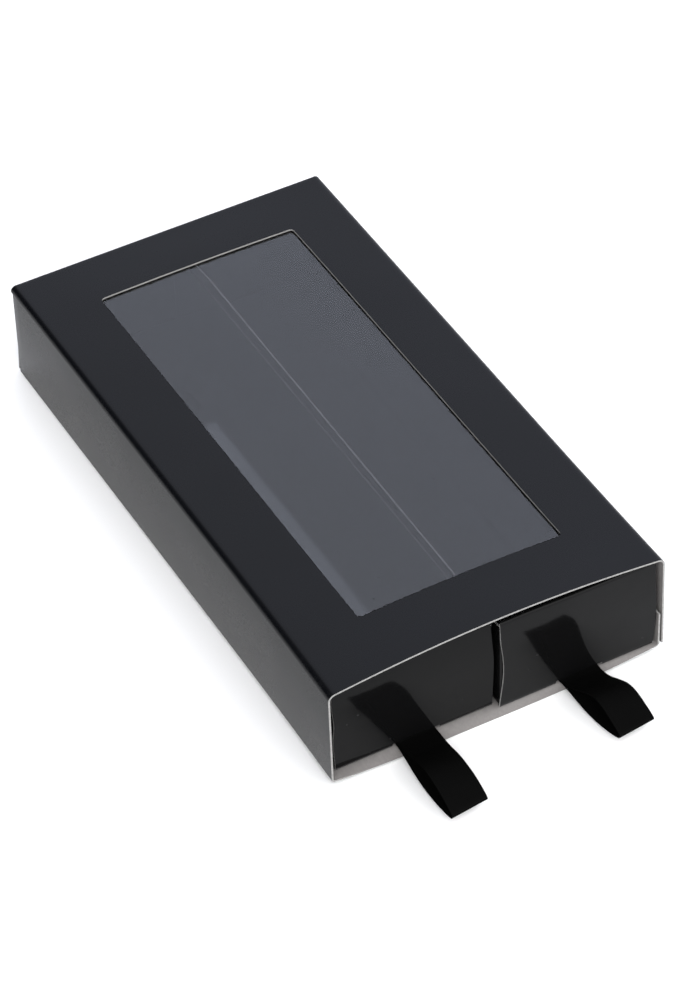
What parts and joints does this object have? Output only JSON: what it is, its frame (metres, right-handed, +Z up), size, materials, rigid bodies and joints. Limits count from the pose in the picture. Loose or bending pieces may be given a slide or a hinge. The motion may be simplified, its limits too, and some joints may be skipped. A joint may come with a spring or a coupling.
{
  "type": "sliding drawer gift box",
  "caption": "Flat black card gift box: an open-fronted sleeve with a clear film window holds trays side by side, each pulled out by a ribbon loop.",
  "frame": {"origin": "centre of the sleeve's flat underside, at the outer face of the bottom panel", "axes": "+Z up; +X to the right across the box as seen from its open mouth; +Y from the open mouth to the closed back, so the trays pull out along -Y"},
  "size_m": [0.095, 0.2062, 0.035],
  "materials": {
    "sleeve_card": "smooth satin black printed coating, unprinted pale grey inside, white cut edges",
    "tray_card": "black printed coating on both faces, white cut edges",
    "clear_film": "clear glossy film",
    "glue": "dried translucent paper glue",
    "ribbon": "black woven grosgrain with a soft sheen",
    "tape": "clear adhesive tape"
  },
  "bodies": {
    "sleeve_shell": {"sleeve": "sleeve_card", "window_film": "clear_film", "window_glue": "glue", "seam_glue": "glue", "back_glue": "glue"},
    "drawer_left": {"tray_left": "tray_card", "ribbon_left": "ribbon", "ribbon_tape_left": "tape"},
    "drawer_right": {"tray_right": "tray_card", "ribbon_right": "ribbon", "ribbon_tape_right": "tape"}
  },
  "joints": [
    {"name": "drawer_left_slide", "type": "slide", "parent": "sleeve_shell", "child": "drawer_left", "axis": [0, -1, 0], "range_m": [0, 0.18]},
    {"name": "drawer_right_slide", "type": "slide", "parent": "sleeve_shell", "child": "drawer_right", "axis": [0, -1, 0], "range_m": [0, 0.18]}
  ]
}
